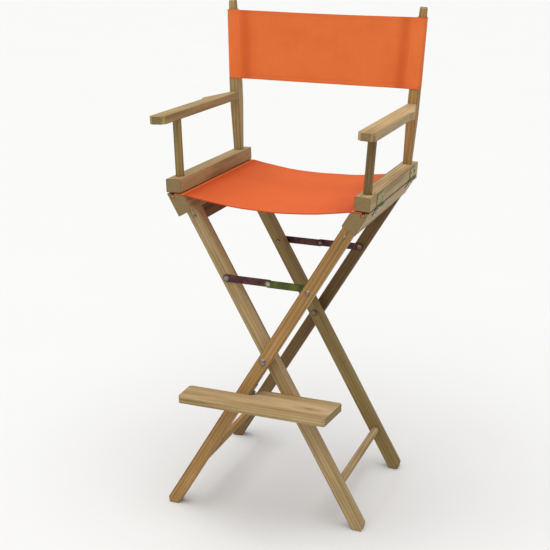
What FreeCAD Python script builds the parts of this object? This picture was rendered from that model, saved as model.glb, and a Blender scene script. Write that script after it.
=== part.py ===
import FreeCAD, Part
import math
import os
import re

import Sketcher

# Tall folding director's chair. Millimetres, +Z up, and the front of the chair faces -Y.
# The origin is on the floor, under the middle of the chair's outline. "left" is -X and "right"
# is +X, as they look from in front of the chair.
#
# Two leg frames cross and turn about one fore-and-aft axis. A frame is named for the side that
# its seat rail is on. Each leg frame is drawn upright about the crossing axis and then tilted:
# u runs outward across the leg and w runs up along it. Each arm frame is drawn upright about
# its hinge axis and then leans outward.
DIMENSIONS = [
    ("seat_level", 760.0),          # height of the arm hinge axes
    ("crossing_height", 394.0),     # height of the axis where the legs cross
    ("leg_angle", 30.0),            # tilt of each leg from vertical, degrees
    ("leg_width", 29.0),
    ("leg_depth", 27.0),
    ("leg_gap", 8.0),               # room between crossed legs, for the braces
    ("foot_heel", 3.0),
    ("foot_toe", 9.0),
    ("foot_toe_rise", 16.0),
    ("rail_front", -184.0),
    ("rail_length", 430.0),
    ("rail_width", 35.0),
    ("rail_height", 30.0),
    ("rail_gap", 3.0),              # gap between upper and lower rails, where the canvas lies
    ("rail_round", 9.0),
    ("lower_rail_side", 57.0),
    ("edge_round", 2.0),
    ("groove_inset", 14.0),
    ("groove_width", 9.0),
    ("groove_depth", 9.0),
    ("rod_diameter", 5.0),
    ("apron_height", 31.0),
    ("apron_thickness", 20.0),
    ("stretcher_height", 98.0),
    ("stretcher_diameter", 19.0),
    ("tenon_length", 14.0),
    ("pivot_diameter", 8.0),
    ("pivot_head", 17.0),
    ("pivot_head_height", 4.0),
    ("nut_size", 7.5),
    ("nut_height", 6.0),
    ("bolt_recess", 1.2),           # pivot bolt's end below the nut's outer face
    ("head_taper", 0.6),            # flat of a domed head as a part of its diameter
    ("turning_clearance", 0.05),
    ("spacer_diameter", 20.0),
    ("spacer_clearance", 0.3),
    ("screw_head", 8.0),
    ("screw_head_height", 2.0),
    ("screw_shank", 3.5),
    ("screw_length", 20.0),
    ("brace_reach", 203.0),         # crossing axis to brace bolt, along the leg
    ("link_width", 17.0),
    ("link_thickness", 2.0),
    ("link_clearance", 0.6),
    ("link_bolt", 5.0),
    ("link_bolt_head", 12.0),
    ("link_head_height", 1.4),
    ("brace_head_height", 2.8),     # bolt heads on the legs' open faces
    ("rivet_head", 10.0),
    ("rivet_head_height", 0.3),
    ("washer_clearance", 0.1),
    ("arm_lean", 3.0),              # outward lean of each arm frame, degrees
    ("hinge_offset", 3.5),          # hinge axis outside the rail's outer face
    ("knuckle_diameter", 6.0),
    ("hinge_pin", 2.8),
    ("hinge_length", 52.0),
    ("hinge_leaf", 26.0),
    ("leaf_thickness", 1.5),
    ("leaf_tip_width", 30.0),
    ("hinge_inset_front", 52.0),
    ("hinge_inset_back", 36.0),
    ("leaf_shoulder", 7.8),         # height over which a lower leaf keeps its full length
    ("hinge_play", 0.2),
    ("knuckle_relief", 1.0),        # room round a knuckle in the other leaf
    ("leaf_screw_head", 6.0),
    ("leaf_screw_height", 1.2),
    ("leaf_screw_length", 12.0),
    ("arm_top", 176.0),             # armrest top above the hinge axis
    ("arm_thickness", 17.5),
    ("arm_front", -233.0),
    ("arm_overhang", 9.5),          # armrest beyond the rail's outer face
    ("arm_corner", 9.0),
    ("arm_taper", 135.0),           # length over which the arm narrows to the back post
    ("post_inset", 37.0),           # front post's axis behind the rail's front end
    ("post_diameter", 19.0),
    ("back_centre", 200.0),         # back post's middle, fore and aft
    ("back_lean", 3.0),
    ("back_thickness", 22.0),
    ("back_thickness_base", 18.0),
    ("back_thickness_top", 15.0),
    ("back_depth", 30.0),
    ("back_depth_base", 18.0),
    ("back_depth_top", 14.0),
    ("back_top", 395.0),            # back post's top above the hinge axis
    ("back_shoulder", 35.0),        # full depth is kept to this height above the armrest
    ("back_blend", 20.0),           # full thickness starts this far below the armrest
    ("back_chamfer", 4.0),
    ("cut_margin", 1.0),            # how far a cutting shape passes the stock
    ("canvas_thickness", 1.2),
    ("seat_clearance", 0.4),
    ("panel_thickness", 2.0),
    ("sleeve_gap", 0.3),            # between a sleeve and the back's panel
    ("seat_front", -183.5),
    ("seat_depth", 428.0),
    ("seat_sag", 24.0),
    ("back_canvas_low", 210.0),
    ("back_canvas_high", 373.0),
    ("sleeve_clearance", 0.5),
    ("footrest_top", 311.0),
    ("footrest_thickness", 17.0),
    ("footrest_front", -252.0),
    ("footrest_half", 178.0),
    ("footrest_slant", 9.0),
    ("footrest_corner", 5.0),
    ("footrest_clearance", 0.4),
    ("footrest_pivot_offset", 18.5),
    ("footrest_notch", 5.0),        # notch edge beyond the footrest hinge axis
    ("footrest_step", 15.0),
    ("foot_hinge_inset", 2.0),
    ("foot_hinge_length", 19.0),
    ("foot_leaf_height", 24.0),
    ("foot_leaf_thickness", 2.0),
    ("rest_plate_thickness", 3.0),
    ("rest_plate_front", 30.0),
    ("rest_plate_back", 22.0),
    ("rest_plate_height", 34.0),
]

doc = FreeCAD.newDocument("directors_chair")
dim = doc.addObject("Spreadsheet::Sheet", "dim")
for row, (alias, value) in enumerate(DIMENSIONS, start=1):
    dim.set("A%d" % row, alias)
    dim.set("B%d" % row, str(value))
    dim.setAlias("B%d" % row, alias)
doc.recompute()

Y_AXIS = FreeCAD.Vector(0, 1, 0)
SIDES = {"left": -1, "right": 1}
START_RADIUS = 50.0                 # sketch outlines start as a regular polygon of this radius
LONG_EDGE = 100.0                   # an edge longer than this runs the length of its part
ON_FACE = 1.0                       # an edge this near a face of the bounding box lies on it
SAG_STEPS = 12
# Corners of the armrest's taper, as parts of its width and of its length.
ARM_TAPER = ((0.62, 0.2), (0.25, 0.64), (0.0, 1.0))
# Screws in a hinge leaf, as parts of its length from the middle and of its height.
UPPER_SCREWS = ((-0.3, 0.6), (0.3, 0.6))
LOWER_SCREWS = ((-0.33, 0.36), (0.33, 0.36), (0.0, 0.78))
pieces = []

# Places that several sub-parts share, written in the sheet's own terms.
RAIL_BACK = "(rail_front + rail_length)"
OUTER = "((seat_level - crossing_height) * tan(leg_angle) + rail_width / 2 / cos(leg_angle))"
HINGE = "(%s + hinge_offset)" % OUTER
HALF_LEG = "leg_width / 2"
HALF_RAIL = "rail_width / 2"
RAIL_TOP_W = "((seat_level - rail_gap / 2 - crossing_height + (%s) * sin(leg_angle)) / cos(leg_angle))"
FLOOR_W = "((-crossing_height + (%s) * sin(leg_angle)) / cos(leg_angle))"
RAIL_BASE_W = "(%s - lower_rail_side)" % (RAIL_TOP_W % HALF_RAIL)
INSET = {"left": "(leg_depth + leg_gap)", "right": "0"}
POST_U = "(-hinge_offset - rail_width / 2)"
BRACE_X = "(brace_reach * sin(leg_angle))"
BRACE_Z = "(crossing_height + brace_reach * cos(leg_angle))"
FOOT_HINGE_W = "((footrest_top - crossing_height + footrest_pivot_offset * sin(leg_angle)) / cos(leg_angle))"
FOOT_HINGE_X = ("(footrest_pivot_offset * cos(leg_angle) + %s * sin(leg_angle))" % FOOT_HINGE_W)


def cells(text):
    """Point every dimension's name in an expression at the sheet."""
    return re.sub(r"\b([a-z]+(?:_[a-z]+)+)\b", r"dim.\1", text)


def bind(thing, path, text):
    thing.setExpression(path, cells(text))


def leg_face(side, end, outward):
    """Y of a leg's face: end is front or back; outward is the face away from the chair's middle."""
    depth = "0" if outward else "leg_depth"
    if end == "front":
        return "(rail_front + %s + %s)" % (INSET[side], depth)
    return "(%s - %s - %s)" % (RAIL_BACK, INSET[side], depth)


# ---- document helpers ----------------------------------------------------------------------


def tilt(thing, x="0", y="0", z="0", angle="0"):
    thing.Placement = FreeCAD.Placement(FreeCAD.Vector(), FreeCAD.Rotation(Y_AXIS, 1))
    for path, text in (("Base.x", x), ("Base.y", y), ("Base.z", z), ("Rotation.Angle", angle)):
        bind(thing, "Placement." + path, text)


def into_leg_frame(thing, side):
    tilt(thing, z="crossing_height", angle="%d * leg_angle" % SIDES[side])


def into_arm_frame(thing, side):
    sign = SIDES[side]
    tilt(thing, x="%d * %s" % (sign, HINGE), z="seat_level", angle="%d * arm_lean" % sign)


def new_body(name):
    body = doc.addObject("PartDesign::Body", name)
    body.Label = name
    return body


def keep(thing, label):
    thing.Label = label
    pieces.append(thing)
    return thing


def new_sketch(body, plane, offset):
    sketch = body.newObject("Sketcher::SketchObject", body.Name + "_sketch")
    base = next(f for f in body.Origin.OriginFeatures if f.Role == plane)
    sketch.AttachmentSupport = [(base, "")]
    sketch.MapMode = "FlatFace"
    bind(sketch, "AttachmentOffset.Base.z", offset)
    return sketch


def polygon(body, plane, offset, corners):
    """A closed outline whose corners are each bound by two expressions."""
    sketch = new_sketch(body, plane, offset)
    count = len(corners)
    turns = [2 * math.pi * i / count for i in range(count)]
    start = [FreeCAD.Vector(math.cos(turn), math.sin(turn), 0) * START_RADIUS for turn in turns]
    for i in range(count):
        sketch.addGeometry(Part.LineSegment(start[i], start[(i + 1) % count]), False)
    for i in range(count):
        sketch.addConstraint(Sketcher.Constraint("Coincident", i, 2, (i + 1) % count, 1))
    for i, (across, up) in enumerate(corners):
        for kind, text, now in (("DistanceX", across, start[i].x), ("DistanceY", up, start[i].y)):
            index = sketch.addConstraint(Sketcher.Constraint(kind, -1, 1, i, 1, now))
            bind(sketch, "Constraints[%d]" % index, text)
    return sketch


def circle(body, plane, offset, across, up, diameter):
    sketch = new_sketch(body, plane, offset)
    sketch.addGeometry(Part.Circle(FreeCAD.Vector(1, 1, 0), FreeCAD.Vector(0, 0, 1), 2), False)
    for kind, text, point in (("DistanceX", across, 3), ("DistanceY", up, 3)):
        index = sketch.addConstraint(Sketcher.Constraint(kind, -1, 1, 0, point, 1))
        bind(sketch, "Constraints[%d]" % index, text)
    index = sketch.addConstraint(Sketcher.Constraint("Diameter", 0, 4))
    bind(sketch, "Constraints[%d]" % index, diameter)
    return sketch


def pad(body, sketch, length):
    feature = body.newObject("PartDesign::Pad", body.Name + "_pad")
    feature.Profile = sketch
    bind(feature, "Length", length)
    doc.recompute()
    return feature


def pocket(body, sketch, length):
    """Cut against the sketch's normal and make sure that the cut removed something."""
    doc.recompute()
    before = body.Shape.Volume
    feature = body.newObject("PartDesign::Pocket", body.Name + "_pocket")
    feature.Profile = sketch
    bind(feature, "Length", length)
    doc.recompute()
    if body.Shape.Volume >= before:
        raise RuntimeError("pocket cuts nothing in " + body.Name)
    return feature


def fillet(body, base, size, wanted):
    """Round the edges of base that wanted picks out."""
    names = ["Edge%d" % (i + 1) for i, edge in enumerate(base.Shape.Edges) if wanted(edge)]
    feature = body.newObject("PartDesign::Fillet", body.Name + "_fillet")
    feature.Base = (base, names)
    bind(feature, "Radius", size)
    doc.recompute()
    return feature


def runs_along(edge, axis, least=20.0):
    """True for a straight edge along axis (0, 1 or 2) that is longer than least."""
    if edge.Curve.TypeId != "Part::GeomLine" or edge.Length < least:
        return False
    return abs(edge.Vertexes[0].Point[axis] - edge.Vertexes[-1].Point[axis]) > 0.99 * edge.Length


def cylinder(x, y, z, diameter, length, axis=Y_AXIS):
    """A cylinder that starts at x, y, z and runs along axis."""
    rod = doc.addObject("Part::Cylinder", "cylinder")
    rod.Placement = FreeCAD.Placement(FreeCAD.Vector(), FreeCAD.Rotation(FreeCAD.Vector(0, 0, 1), axis))
    for path, text in (("Base.x", x), ("Base.y", y), ("Base.z", z)):
        bind(rod, "Placement." + path, text)
    bind(rod, "Radius", "(%s) / 2" % diameter)
    bind(rod, "Height", length)
    return rod


def cone(x, y, z, diameter, length, axis):
    """A screw's or bolt's head that starts at x, y, z and narrows along axis."""
    head = doc.addObject("Part::Cone", "cone")
    head.Placement = FreeCAD.Placement(FreeCAD.Vector(), FreeCAD.Rotation(FreeCAD.Vector(0, 0, 1), axis))
    for path, text in (("Base.x", x), ("Base.y", y), ("Base.z", z)):
        bind(head, "Placement." + path, text)
    bind(head, "Radius1", "(%s) / 2" % diameter)
    bind(head, "Radius2", "(%s) / 2 * head_taper" % diameter)
    bind(head, "Height", length)
    return head


def box(x, y, z, length, width, height):
    block = doc.addObject("Part::Box", "block")
    for path, text in (("Placement.Base.x", x), ("Placement.Base.y", y), ("Placement.Base.z", z),
                       ("Length", length), ("Width", width), ("Height", height)):
        bind(block, path, text)
    return block


def fuse(shapes):
    feature = doc.addObject("Part::MultiFuse", "joined")
    feature.Shapes = shapes
    return feature


def cut(base, tool):
    feature = doc.addObject("Part::Cut", "cut")
    feature.Base = base
    feature.Tool = tool
    return feature


def group(label, members):
    """One node that holds several separate solids."""
    feature = doc.addObject("Part::Compound", label)
    feature.Links = members
    return keep(feature, label)


# ---- leg frames ----------------------------------------------------------------------------


def across(side, u):
    return "%d * (%s)" % (SIDES[side], u)


def leg_holes(body, side, end):
    """Bores for the crossing bolt and, on this leg, the brace bolt."""
    near = leg_face(side, end, end == "front")
    for up, size in (("0", "pivot_diameter"), ("brace_reach", "link_bolt")):
        bore = circle(body, "XZ_Plane", "-%s" % near, "0", up, size + " + 2 * turning_clearance")
        pocket(body, bore, "leg_depth")


def stretcher_socket(body, side, end):
    """A blind hole in the leg's inner face for the stretcher's tenon."""
    size = "stretcher_diameter + 2 * turning_clearance"
    up = STRETCHER_W
    if end == "front":
        plane_y = "(%s - tenon_length)" % leg_face(side, end, False)
    else:
        plane_y = leg_face(side, end, False)
    pocket(body, circle(body, "XZ_Plane", "-%s" % plane_y, "0", up, size), "tenon_length")


STRETCHER_W = "((stretcher_height - crossing_height) / cos(leg_angle))"


def make_leg(side, end):
    body = new_body("%s_%s_leg" % (side, end))
    half = HALF_LEG
    corners = [
        (across(side, "-(%s)" % half), RAIL_BASE_W),
        (across(side, half), RAIL_BASE_W),
        (across(side, half), (FLOOR_W % half) + " + foot_heel"),
        (across(side, half + " - foot_heel"), FLOOR_W % (half + " - foot_heel")),
        (across(side, "foot_toe - " + half), FLOOR_W % ("foot_toe - " + half)),
        (across(side, "-(%s)" % half), (FLOOR_W % ("-(%s)" % half)) + " + foot_toe_rise"),
    ]
    far = leg_face(side, end, end == "back")
    base = pad(body, polygon(body, "XZ_Plane", "-%s" % far, corners), "leg_depth")
    fillet(body, base, "edge_round", lambda edge: runs_along(edge, 2, LONG_EDGE))
    leg_holes(body, side, end)
    stretcher_socket(body, side, end)
    into_leg_frame(body, side)
    keep(body, body.Name)


def make_lower_rail(side):
    body = new_body(side + "_lower_rail_block")
    corners = [
        (across(side, "-(%s)" % HALF_RAIL), RAIL_BASE_W),
        (across(side, HALF_RAIL), RAIL_BASE_W),
        (across(side, HALF_RAIL), RAIL_TOP_W % HALF_RAIL),
        (across(side, "-(%s)" % HALF_RAIL), RAIL_TOP_W % ("-(%s)" % HALF_RAIL)),
    ]
    base = pad(body, polygon(body, "XZ_Plane", "-%s" % RAIL_BACK, corners), "rail_length")
    low = base.Shape.BoundBox.ZMin + ON_FACE
    fillet(body, base, "edge_round", lambda e: runs_along(e, 1) and e.Vertexes[0].Z < low)
    into_leg_frame(body, side)
    left_edge = "%d * (%s - groove_inset) - groove_width / 2" % (SIDES[side], OUTER)
    groove = box(left_edge, "rail_front", "seat_level - rail_gap / 2 - groove_depth",
                 "groove_width", "rail_length", "groove_depth + cut_margin")
    keep(cut(body, groove), side + "_lower_rail")


def make_apron(side):
    body = new_body(side + "_apron")
    half = "apron_thickness / 2"
    corners = [
        (across(side, "-(%s)" % half), RAIL_BASE_W + " - apron_height"),
        (across(side, half), RAIL_BASE_W + " - apron_height"),
        (across(side, half), RAIL_BASE_W),
        (across(side, "-(%s)" % half), RAIL_BASE_W),
    ]
    far = leg_face(side, "back", False)
    length = "%s - %s" % (far, leg_face(side, "front", False))
    base = pad(body, polygon(body, "XZ_Plane", "-%s" % far, corners), length)
    low = base.Shape.BoundBox.ZMin + ON_FACE
    fillet(body, base, "edge_round", lambda e: runs_along(e, 1) and e.Vertexes[0].Z < low)
    into_leg_frame(body, side)
    keep(body, body.Name)


def make_stretcher(side):
    start = "(%s - tenon_length)" % leg_face(side, "front", False)
    end = "(%s + tenon_length)" % leg_face(side, "back", False)
    body = new_body(side + "_stretcher")
    round_bar = circle(body, "XZ_Plane", "-%s" % end, "0", STRETCHER_W, "stretcher_diameter")
    pad(body, round_bar, "%s - %s" % (end, start))
    into_leg_frame(body, side)
    keep(body, body.Name)


def leg_point(side, u, w):
    """World X and Z of a point given across and along a leg."""
    x = "%d * ((%s) * cos(leg_angle) + (%s) * sin(leg_angle))" % (SIDES[side], u, w)
    z = "crossing_height + (%s) * cos(leg_angle) - (%s) * sin(leg_angle)" % (w, u)
    return x, z


def make_leg_screws(side):
    """One screw through the top of each leg into the end of the apron."""
    x, z = leg_point(side, "0", RAIL_BASE_W + " - apron_height / 2")
    members = []
    for end, sign in (("front", 1), ("back", -1)):
        face = leg_face(side, end, True)
        head = cone(x, face, z, "screw_head", "screw_head_height", FreeCAD.Vector(0, -sign, 0))
        reach = "leg_depth + screw_length"
        shank = cylinder(x, face, z, "screw_shank", reach, FreeCAD.Vector(0, sign, 0))
        members.append(fuse([head, shank]))
    group(side + "_leg_screws", members)


def make_seat_rod(side):
    x = "%d * (%s - groove_inset)" % (SIDES[side], OUTER)
    z = "seat_level - rail_gap / 2 - groove_depth + rod_diameter / 2 + canvas_thickness"
    rod = cylinder(x, "seat_front", z, "rod_diameter", "seat_depth")
    keep(rod, side + "_seat_rod")


def make_pivots():
    """Bolts, nuts and spacers where the legs cross: the right legs are outermost."""
    bolts, nuts, spacers = [], [], []
    for end in ("front", "back"):
        outer = leg_face("right", end, True)
        inner = leg_face("left", end, False)
        head_at, nut_at = (outer, inner) if end == "front" else (inner, outer)
        away = FreeCAD.Vector(0, -1, 0)
        head = cone("0", head_at, "crossing_height", "pivot_head", "pivot_head_height", away)
        shank = cylinder("0", head_at, "crossing_height", "pivot_diameter",
                         "2 * leg_depth + leg_gap + nut_height - bolt_recess")
        bolts.append(fuse([head, shank]))
        nut = doc.addObject("Part::Prism", "nut")
        nut.Polygon = 6
        nut.Placement = FreeCAD.Placement(FreeCAD.Vector(),
                                          FreeCAD.Rotation(FreeCAD.Vector(0, 0, 1), Y_AXIS))
        bind(nut, "Placement.Base.y", nut_at)
        bind(nut, "Placement.Base.z", "crossing_height")
        bind(nut, "Circumradius", "nut_size")
        bind(nut, "Height", "nut_height")
        bore = cylinder("0", nut_at, "crossing_height", "pivot_diameter", "nut_height")
        nuts.append(cut(nut, bore))
        low = leg_face("right", "front", False) if end == "front" else leg_face("left", "back", True)
        ring = cylinder("0", low + " + spacer_clearance", "crossing_height", "spacer_diameter",
                        "leg_gap - 2 * spacer_clearance")
        hole = cylinder("0", low, "crossing_height", "pivot_diameter + 2 * turning_clearance", "leg_gap")
        spacers.append(cut(ring, hole))
    group("pivot_bolts", bolts)
    group("pivot_nuts", nuts)
    group("pivot_spacers", spacers)


# ---- folding braces ------------------------------------------------------------------------


def gap_y(end, low, high):
    """Low Y of a slice of the gap between crossed legs, measured from the left leg's face."""
    face = leg_face("left", end, True)
    if end == "front":
        return "(%s - (%s))" % (face, high)
    return "(%s + (%s))" % (face, low)


NEAR = ("link_clearance", "link_clearance + link_thickness")
FAR = ("leg_gap - link_clearance - link_thickness", "leg_gap - link_clearance")


def make_link(end, side, layer):
    """A flat bar with round ends from the brace's middle to one leg."""
    y = gap_y(end, layer[0], layer[1])
    low_x = "-" + BRACE_X if side == "left" else "0"
    high_x = "0" if side == "left" else BRACE_X
    bar = box(low_x, y, BRACE_Z + " - link_width / 2", BRACE_X, "link_thickness", "link_width")
    ends = [cylinder(x, y, BRACE_Z, "link_width", "link_thickness") for x in (low_x, high_x)]
    hole = "link_bolt + 2 * turning_clearance"
    holes = [cylinder(x, y, BRACE_Z, hole, "link_thickness") for x in (low_x, high_x)]
    keep(cut(fuse([bar] + ends), fuse(holes)), "%s_brace_%s_link" % (end, side))


def make_centre_rivet(end):
    y = gap_y(end, "link_clearance", "leg_gap - link_clearance")
    stem = cylinder("0", y, BRACE_Z, "link_bolt", "leg_gap - 2 * link_clearance")
    collar_y = gap_y(end, NEAR[1] + " + washer_clearance", FAR[0] + " - washer_clearance")
    collar_length = "leg_gap - 2 * (link_clearance + link_thickness + washer_clearance)"
    collar = cylinder("0", collar_y, BRACE_Z, "link_bolt_head", collar_length)
    head_y = gap_y(end, "leg_gap - link_clearance", "leg_gap - link_clearance + rivet_head_height")
    head = cylinder("0", head_y, BRACE_Z, "rivet_head", "rivet_head_height")
    keep(fuse([stem, collar, head]), end + "_brace_rivet")


def make_brace_bolts():
    """Left legs carry the links' bolts; the right leg's front bolt stops at the leg's face."""
    front_inner = leg_face("left", "front", False)
    front_outer = gap_y("front", NEAR[0], NEAR[1] + " + link_head_height")
    front = fuse([
        cylinder("-" + BRACE_X, front_outer, BRACE_Z, "link_bolt_head", "link_head_height"),
        cylinder("-" + BRACE_X, front_outer, BRACE_Z, "link_bolt", "%s - %s" % (front_inner, front_outer)),
    ])
    back_inner = leg_face("left", "back", False)
    back_length = "leg_depth + link_clearance + link_thickness"
    back = fuse([
        cone("-" + BRACE_X, back_inner, BRACE_Z, "link_bolt_head", "brace_head_height",
             FreeCAD.Vector(0, -1, 0)),
        cylinder("-" + BRACE_X, back_inner, BRACE_Z, "link_bolt", back_length),
    ])
    group("left_brace_bolts", [front, back])
    right_front = leg_face("right", "front", True)
    keep(fuse([
        cone(BRACE_X, right_front, BRACE_Z, "link_bolt_head", "brace_head_height",
             FreeCAD.Vector(0, -1, 0)),
        cylinder(BRACE_X, right_front, BRACE_Z, "link_bolt", "leg_depth"),
    ]), "right_brace_bolt")
    cap_y = gap_y("back", FAR[0] + " - link_head_height", FAR[0])
    keep(fuse([
        cylinder(BRACE_X, cap_y, BRACE_Z, "link_bolt_head", "link_head_height"),
        cylinder(BRACE_X, cap_y, BRACE_Z, "link_bolt", "link_head_height + link_thickness"),
    ]), "back_brace_end_rivet")


# ---- arm hinges ----------------------------------------------------------------------------


def hinge_starts():
    """Low Y of the front and the back hinge."""
    return ("(rail_front + hinge_inset_front)", "(%s - hinge_inset_back - hinge_length)" % RAIL_BACK)


def clear_of(leaf, start, length):
    """Cut the space of the other leaf's knuckle out of a leaf."""
    return cut(leaf, cylinder("0", start, "0", "knuckle_diameter + 2 * knuckle_relief", length))


def make_upper_leaves(side):
    """Rectangular leaves on the upper rail, each with the middle knuckle."""
    sign = SIDES[side]
    members = []
    for start in hinge_starts():
        low_x = "-hinge_offset" if sign > 0 else "hinge_offset - leaf_thickness"
        plate = box(low_x, start, "leaf_thickness", "leaf_thickness", "hinge_length", "hinge_leaf")
        middle = "%s + hinge_length / 4 + hinge_play" % start
        length = "hinge_length / 2 - 2 * hinge_play"
        neck_x = "-hinge_offset" if sign > 0 else "0"
        neck = box(neck_x, middle, "leaf_thickness", "hinge_offset", length, "leaf_thickness")
        bore = cylinder("0", start, "0", "hinge_pin + 2 * turning_clearance", "hinge_length")
        barrel = cylinder("0", middle, "0", "knuckle_diameter", length)
        for near in (start, "%s + hinge_length * 3 / 4" % start):
            plate = clear_of(plate, near, "hinge_length / 4")
        leaf = cut(fuse([plate, neck, barrel]), bore)
        into_arm_frame(leaf, side)
        members.append(leaf)
    group(side + "_upper_hinge_leaves", members)


def make_lower_leaves(side):
    """Tapering leaves on the lower rail's tilted outer face, each with the two end knuckles."""
    sign = SIDES[side]
    face = "(hinge_offset * cos(leg_angle) - rail_gap / 2 * sin(leg_angle))"
    members = []
    for index, start in enumerate(hinge_starts()):
        body = new_body("%s_lower_leaf_%d" % (side, index + 1))
        middle = "(%s + hinge_length / 2)" % start
        corners = [
            (middle + " - hinge_length / 2", "-leaf_thickness"),
            (middle + " - hinge_length / 2", "-leaf_shoulder"),
            (middle + " - leaf_tip_width / 2", "-hinge_leaf"),
            (middle + " + leaf_tip_width / 2", "-hinge_leaf"),
            (middle + " + hinge_length / 2", "-leaf_shoulder"),
            (middle + " + hinge_length / 2", "-leaf_thickness"),
        ]
        low = "-" + face if sign > 0 else "%s - leaf_thickness" % face
        pad(body, polygon(body, "YZ_Plane", low, corners), "leaf_thickness")
        plate = clear_of(body, "%s + hinge_length / 4" % start, "hinge_length / 2")
        necks = []
        for near in (start, "%s + hinge_length * 3 / 4" % start):
            neck_x = "-" + face if sign > 0 else "0"
            necks.append(box(neck_x, near, "-2 * leaf_thickness", face, "hinge_length / 4", "leaf_thickness"))
            necks.append(cylinder("0", near, "0", "knuckle_diameter", "hinge_length / 4"))
        bore = cylinder("0", start, "0", "hinge_pin", "hinge_length")
        leaf = cut(fuse([plate] + necks), bore)
        tilt(leaf, x="%d * %s" % (sign, HINGE), z="seat_level", angle="%d * leg_angle" % sign)
        members.append(leaf)
    group(side + "_lower_hinge_leaves", members)


def make_hinge_pins(side):
    x = "%d * %s" % (SIDES[side], HINGE)
    pins = [cylinder(x, start, "seat_level", "hinge_pin", "hinge_length") for start in hinge_starts()]
    group(side + "_hinge_pins", pins)


def leaf_screw(x, y, z, outward):
    """A small screw whose head sits on a hinge leaf; outward is along local X."""
    direction = FreeCAD.Vector(outward, 0, 0)
    head = cone(x, y, z, "leaf_screw_head", "leaf_screw_height", direction)
    shank = cylinder(x, y, z, "screw_shank", "leaf_screw_length", direction * -1)
    return fuse([head, shank])


def make_hinge_screws(side):
    """Screws at set parts of each leaf's length and height."""
    sign = SIDES[side]
    upper, lower = [], []
    face = "(hinge_offset * cos(leg_angle) - rail_gap / 2 * sin(leg_angle) - leaf_thickness)"
    for start in hinge_starts():
        middle = "(%s + hinge_length / 2)" % start
        for along, high in UPPER_SCREWS:
            x = "%d * (leaf_thickness - hinge_offset)" % sign
            y = "%s + hinge_length * %s" % (middle, along)
            screw = leaf_screw(x, y, "leaf_thickness + hinge_leaf * %s" % high, sign)
            into_arm_frame(screw, side)
            upper.append(screw)
        for along, down in LOWER_SCREWS:
            x = "%d * -%s" % (sign, face)
            y = "%s + hinge_length * %s" % (middle, along)
            screw = leaf_screw(x, y, "-hinge_leaf * %s" % down, sign)
            tilt(screw, x="%d * %s" % (sign, HINGE), z="seat_level", angle="%d * leg_angle" % sign)
            lower.append(screw)
    group(side + "_upper_hinge_screws", upper)
    group(side + "_lower_hinge_screws", lower)


# ---- arm frames ----------------------------------------------------------------------------


def make_upper_rail(side):
    body = new_body(side + "_upper_rail")
    inner = "-hinge_offset - rail_width"
    corners = [
        (across(side, inner), "rail_gap / 2"),
        (across(side, "-hinge_offset"), "rail_gap / 2"),
        (across(side, "-hinge_offset"), "rail_gap / 2 + rail_height"),
        (across(side, inner), "rail_gap / 2 + rail_height"),
    ]
    base = pad(body, polygon(body, "XZ_Plane", "-%s" % RAIL_BACK, corners), "rail_length")
    back = base.Shape.BoundBox.YMax - ON_FACE
    top = base.Shape.BoundBox.ZMax - ON_FACE
    rounded = fillet(body, base, "rail_round",
                     lambda e: e.Vertexes[0].Y > back and e.Vertexes[-1].Y > back
                     and (runs_along(e, 2) or (runs_along(e, 0) and e.Vertexes[0].Z > top)))
    fillet(body, rounded, "edge_round", lambda e: runs_along(e, 1, LONG_EDGE) and e.Vertexes[0].Z > top)
    into_arm_frame(body, side)
    keep(body, body.Name)


def make_front_post(side):
    body = new_body(side + "_front_post")
    low = "(rail_gap / 2 + rail_height)"
    height = "arm_top - arm_thickness - %s" % low
    y = "rail_front + post_inset"
    pad(body, circle(body, "XY_Plane", low, across(side, POST_U), y, "post_diameter"), height)
    into_arm_frame(body, side)
    keep(body, body.Name)


def make_back_post(side):
    """A flat board, sawn wider at the armrest both ways and narrow at its foot and its top."""
    body = new_body(side + "_back_post")
    low = "rail_gap / 2 + rail_height"
    waist = "arm_top - arm_thickness"
    shoulder = "arm_top + back_shoulder"
    tip = "back_top - back_chamfer"
    profile = [
        ("back_centre - back_depth_base / 2", low),
        ("back_centre + back_depth_base / 2", low),
        ("back_centre + back_depth / 2", waist),
        ("back_centre + back_depth / 2", shoulder),
        ("back_centre + back_lean + back_depth_top / 2", tip),
        ("back_centre + back_lean + back_depth_top / 2 - back_chamfer", "back_top"),
        ("back_centre + back_lean - back_depth_top / 2 + back_chamfer", "back_top"),
        ("back_centre + back_lean - back_depth_top / 2", tip),
        ("back_centre - back_depth / 2", shoulder),
        ("back_centre - back_depth / 2", waist),
    ]
    centre = across(side, POST_U)
    pad(body, polygon(body, "YZ_Plane", "%s - back_thickness / 2" % centre, profile), "back_thickness")
    for way in (-1, 1):
        thick = "%d * back_thickness / 2" % way
        edge = "%d * (back_thickness / 2 + cut_margin)" % way
        waste = [
            ("%s + %d * back_thickness_base / 2" % (centre, way), low + " - cut_margin"),
            ("%s + %s" % (centre, thick), waist + " - back_blend"),
            ("%s + %s" % (centre, thick), "arm_top + back_blend"),
            ("%s + %d * back_thickness_top / 2" % (centre, way), "back_top + cut_margin"),
            ("%s + %s" % (centre, edge), "back_top + cut_margin"),
            ("%s + %s" % (centre, edge), low + " - cut_margin"),
        ]
        pocket(body, polygon(body, "XZ_Plane", "-(back_centre - 2 * back_depth)", waste), "4 * back_depth")
    into_arm_frame(body, side)
    keep(body, body.Name)


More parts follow.
